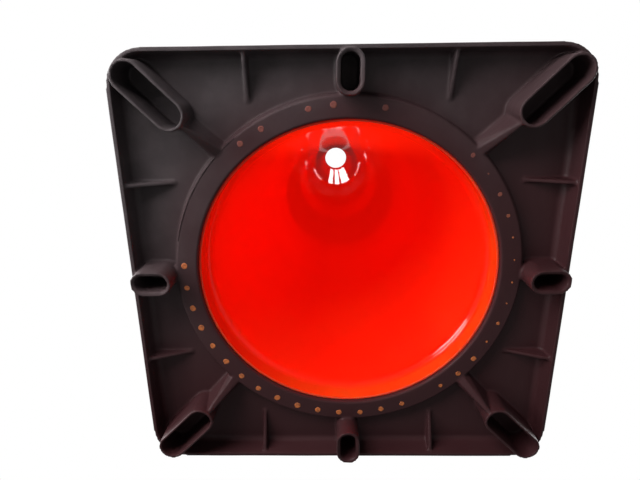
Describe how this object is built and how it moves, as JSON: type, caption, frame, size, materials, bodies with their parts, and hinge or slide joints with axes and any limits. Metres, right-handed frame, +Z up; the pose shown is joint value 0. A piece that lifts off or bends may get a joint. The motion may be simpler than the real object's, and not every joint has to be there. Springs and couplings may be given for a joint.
{
  "type": "traffic cone",
  "caption": "Upright traffic cone: hollow flexible cone with an open tip, square rubber base on hollow feet, and slip-on reflective collars.",
  "frame": {"origin": "on the ground, under the middle of the base", "axes": "+Z up the cone's axis to the tip, X and Y along the base's sides"},
  "size_m": [0.356, 0.356, 0.711],
  "materials": {
    "base_rubber": "moulded, slightly satin",
    "cone_pvc": "glossy fluorescent red-orange, translucent",
    "stud_pvc": "dull, sheared flush",
    "sleeve_pvc": "satin",
    "reflective_film": "glossy prismatic sheeting"
  },
  "bodies": {
    "cone": {"base": "base_rubber", "corner_feet": "base_rubber", "edge_feet": "base_rubber", "cone_body": "cone_pvc", "anchor_flange": "stud_pvc"},
    "lower_collar": {"lower_sleeve": "sleeve_pvc", "lower_sheeting": "reflective_film"},
    "upper_collar": {"upper_sleeve": "sleeve_pvc", "upper_sheeting": "reflective_film"}
  },
  "joints": [
    {"name": "lower_collar_slide", "type": "slide", "parent": "cone", "child": "lower_collar", "axis": [0, 0, 1], "range_m": [0, 0.39]},
    {"name": "upper_collar_slide", "type": "slide", "parent": "cone", "child": "upper_collar", "axis": [0, 0, 1], "range_m": [0, 0.235]}
  ]
}
